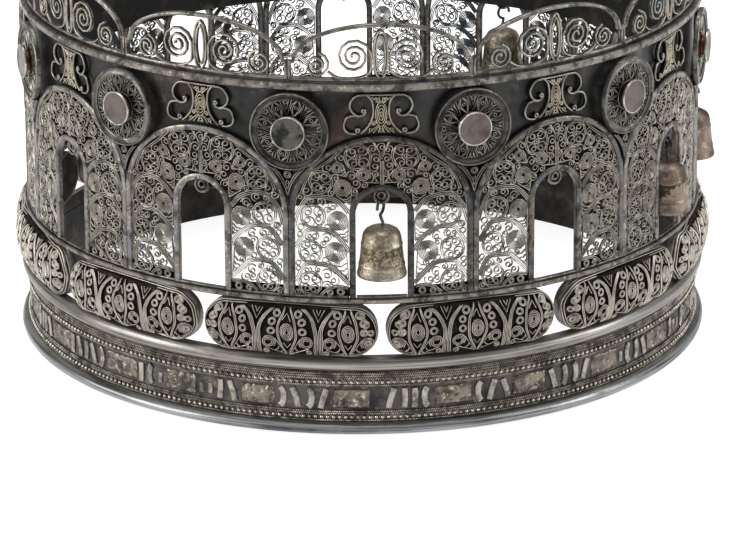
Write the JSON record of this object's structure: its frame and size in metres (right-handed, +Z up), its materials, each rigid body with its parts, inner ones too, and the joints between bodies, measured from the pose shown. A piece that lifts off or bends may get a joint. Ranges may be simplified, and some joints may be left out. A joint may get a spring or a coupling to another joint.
{
  "type": "torah crown",
  "caption": "Round openwork coronet in aged silver filigree, with a ring of arches hung with small bells over a moulded foot band.",
  "frame": {"origin": "middle of the foot ring on its underside", "axes": "+Z up along the crown's axis, -Y towards the front window with its bell, +X to the right seen from the front"},
  "size_m": [0.2115, 0.2115, 0.1212],
  "materials": {
    "band_silver": "oxidised silver, satin, dark in the hollows",
    "moulding_silver": "aged silver, rubbed to a soft sheen",
    "dark_sheet": "blackened silver sheet, satin",
    "filigree_silver": "oxidised silver wire, light on the edges",
    "medallion_silver": "aged silver with a pale polished disc",
    "bell_metal": "warm grey metal with dark tarnish"
  },
  "bodies": {
    "root": {"base_band": "band_silver", "shoulder_rim": "moulding_silver", "arcade_rail": "moulding_silver", "drum_band": "dark_sheet", "top_rail": "moulding_silver", "cresting": "filigree_silver", "oval_cartouche_01": "filigree_silver", "oval_cartouche_02": "filigree_silver", "oval_cartouche_03": "filigree_silver", "oval_cartouche_04": "filigree_silver", "oval_cartouche_05": "filigree_silver", "oval_cartouche_06": "filigree_silver", "oval_cartouche_07": "filigree_silver", "oval_cartouche_08": "filigree_silver", "oval_cartouche_09": "filigree_silver", "oval_cartouche_10": "filigree_silver", "oval_cartouche_11": "filigree_silver", "oval_cartouche_12": "filigree_silver", "arch_panel_01": "filigree_silver", "arch_panel_02": "filigree_silver", "arch_panel_03": "filigree_silver", "arch_panel_04": "filigree_silver", "arch_panel_05": "filigree_silver", "arch_panel_06": "filigree_silver", "arch_panel_07": "filigree_silver", "arch_panel_08": "filigree_silver", "arch_panel_09": "filigree_silver", "arch_panel_10": "filigree_silver", "arch_panel_11": "filigree_silver", "arch_panel_12": "filigree_silver", "medallion_01": "medallion_silver", "medallion_02": "medallion_silver", "medallion_03": "medallion_silver", "medallion_04": "medallion_silver", "medallion_05": "medallion_silver", "medallion_06": "medallion_silver", "medallion_07": "medallion_silver", "medallion_08": "medallion_silver", "medallion_09": "medallion_silver", "medallion_10": "medallion_silver", "medallion_11": "medallion_silver", "medallion_12": "medallion_silver", "lyre_scroll_01": "filigree_silver", "lyre_scroll_02": "filigree_silver", "lyre_scroll_03": "filigree_silver", "lyre_scroll_04": "filigree_silver", "lyre_scroll_05": "filigree_silver", "lyre_scroll_06": "filigree_silver", "lyre_scroll_07": "filigree_silver", "lyre_scroll_08": "filigree_silver", "lyre_scroll_09": "filigree_silver", "lyre_scroll_10": "filigree_silver", "lyre_scroll_11": "filigree_silver", "lyre_scroll_12": "filigree_silver", "bell_01": "bell_metal", "bell_02": "bell_metal", "bell_03": "bell_metal", "bell_04": "bell_metal", "bell_05": "bell_metal"}
  },
  "joints": []
}
